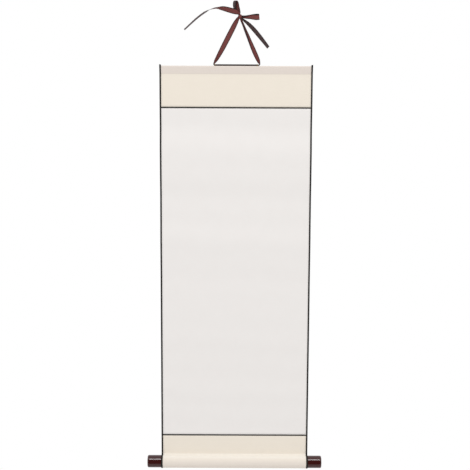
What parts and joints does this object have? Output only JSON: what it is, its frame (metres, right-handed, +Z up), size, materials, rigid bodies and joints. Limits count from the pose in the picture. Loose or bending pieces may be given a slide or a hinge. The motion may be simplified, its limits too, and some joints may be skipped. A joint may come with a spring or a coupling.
{
  "type": "blank hanging scroll",
  "caption": "Blank hanging scroll: white paper mounted in cream silk with dark bindings, a wooden stave above, a roller with lacquered knobs below and a ribbon bow to hang it by.",
  "frame": {"origin": "the point under the ribbon's knot where a nail or hook bears", "axes": "+Z up as the scroll hangs, -Y out of its face towards the viewer, +X to the viewer's right"},
  "size_m": [0.3624, 0.0275, 0.956],
  "materials": {
    "painting_paper": "matte absorbent painting paper, unpainted",
    "backing_paper": "matte burnished backing paper",
    "mount_silk": "fine plain-woven cream silk, soft sheen",
    "dark_tape": "matte near-black narrow silk tape",
    "plain_wood": "bare planed light wood",
    "knob_lacquer": "glossy dark red lacquer",
    "eyelet_wire": "drawn brass wire",
    "hanging_ribbon": "twill maroon ribbon with dark edges and a dark reverse"
  },
  "bodies": {
    "root": {"painting_paper": "painting_paper", "backing_paper": "backing_paper", "top_silk": "mount_silk", "bottom_silk": "mount_silk", "upper_divider": "dark_tape", "lower_divider": "dark_tape", "left_binding": "dark_tape", "right_binding": "dark_tape", "top_stave": "plain_wood", "roller_rod": "plain_wood", "left_knob": "knob_lacquer", "right_knob": "knob_lacquer", "left_eyelet": "eyelet_wire", "right_eyelet": "eyelet_wire", "hanging_ribbon": "hanging_ribbon"}
  },
  "joints": []
}
